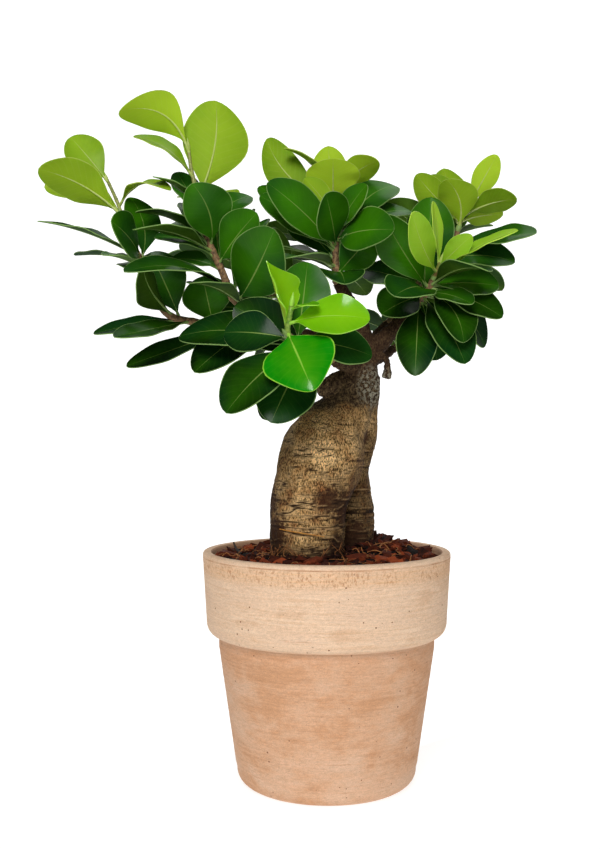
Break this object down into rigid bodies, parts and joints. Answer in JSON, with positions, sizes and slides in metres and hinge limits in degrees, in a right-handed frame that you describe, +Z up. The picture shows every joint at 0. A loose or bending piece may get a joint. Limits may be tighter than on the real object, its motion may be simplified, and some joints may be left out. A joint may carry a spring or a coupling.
{
  "type": "potted ginseng ficus",
  "caption": "Small bonsai-style fig with swollen roots, glossy oval leaves in whorls and pale young shoots, standing in soil in a collared terracotta pot.",
  "frame": {"origin": "centre of the flat face that the pot stands on, on the pot's axis", "axes": "+Z up along the pot's axis, +X to the viewer's right and +Y away from the viewer in the reference view"},
  "size_m": [0.2476, 0.1652, 0.3388],
  "materials": {
    "terracotta": "matte fired clay with turning streaks and lime bloom",
    "soil": "dark potting mix of bark and coir",
    "bark": "matte tan bark with fine creases",
    "mature_leaf": "glossy waxy dark green leaf",
    "young_leaf": "glossy pale green young leaf"
  },
  "bodies": {
    "root": {"pot": "terracotta", "soil": "soil", "trunk": "bark", "left_stem": "mature_leaf", "left_shoot": "young_leaf", "upper_left_stem": "mature_leaf", "upper_left_shoot": "young_leaf", "centre_stem": "mature_leaf", "centre_shoot": "young_leaf", "right_stem": "mature_leaf", "right_shoot": "young_leaf", "tall_right_stem": "mature_leaf", "tall_right_shoot": "young_leaf", "front_stem": "mature_leaf", "front_shoot": "young_leaf", "back_left_stem": "mature_leaf", "back_left_shoot": "young_leaf", "back_middle_stem": "mature_leaf", "back_right_stem": "mature_leaf", "back_right_shoot": "young_leaf", "back_low_stem": "mature_leaf", "low_right_stem": "mature_leaf"}
  },
  "joints": []
}
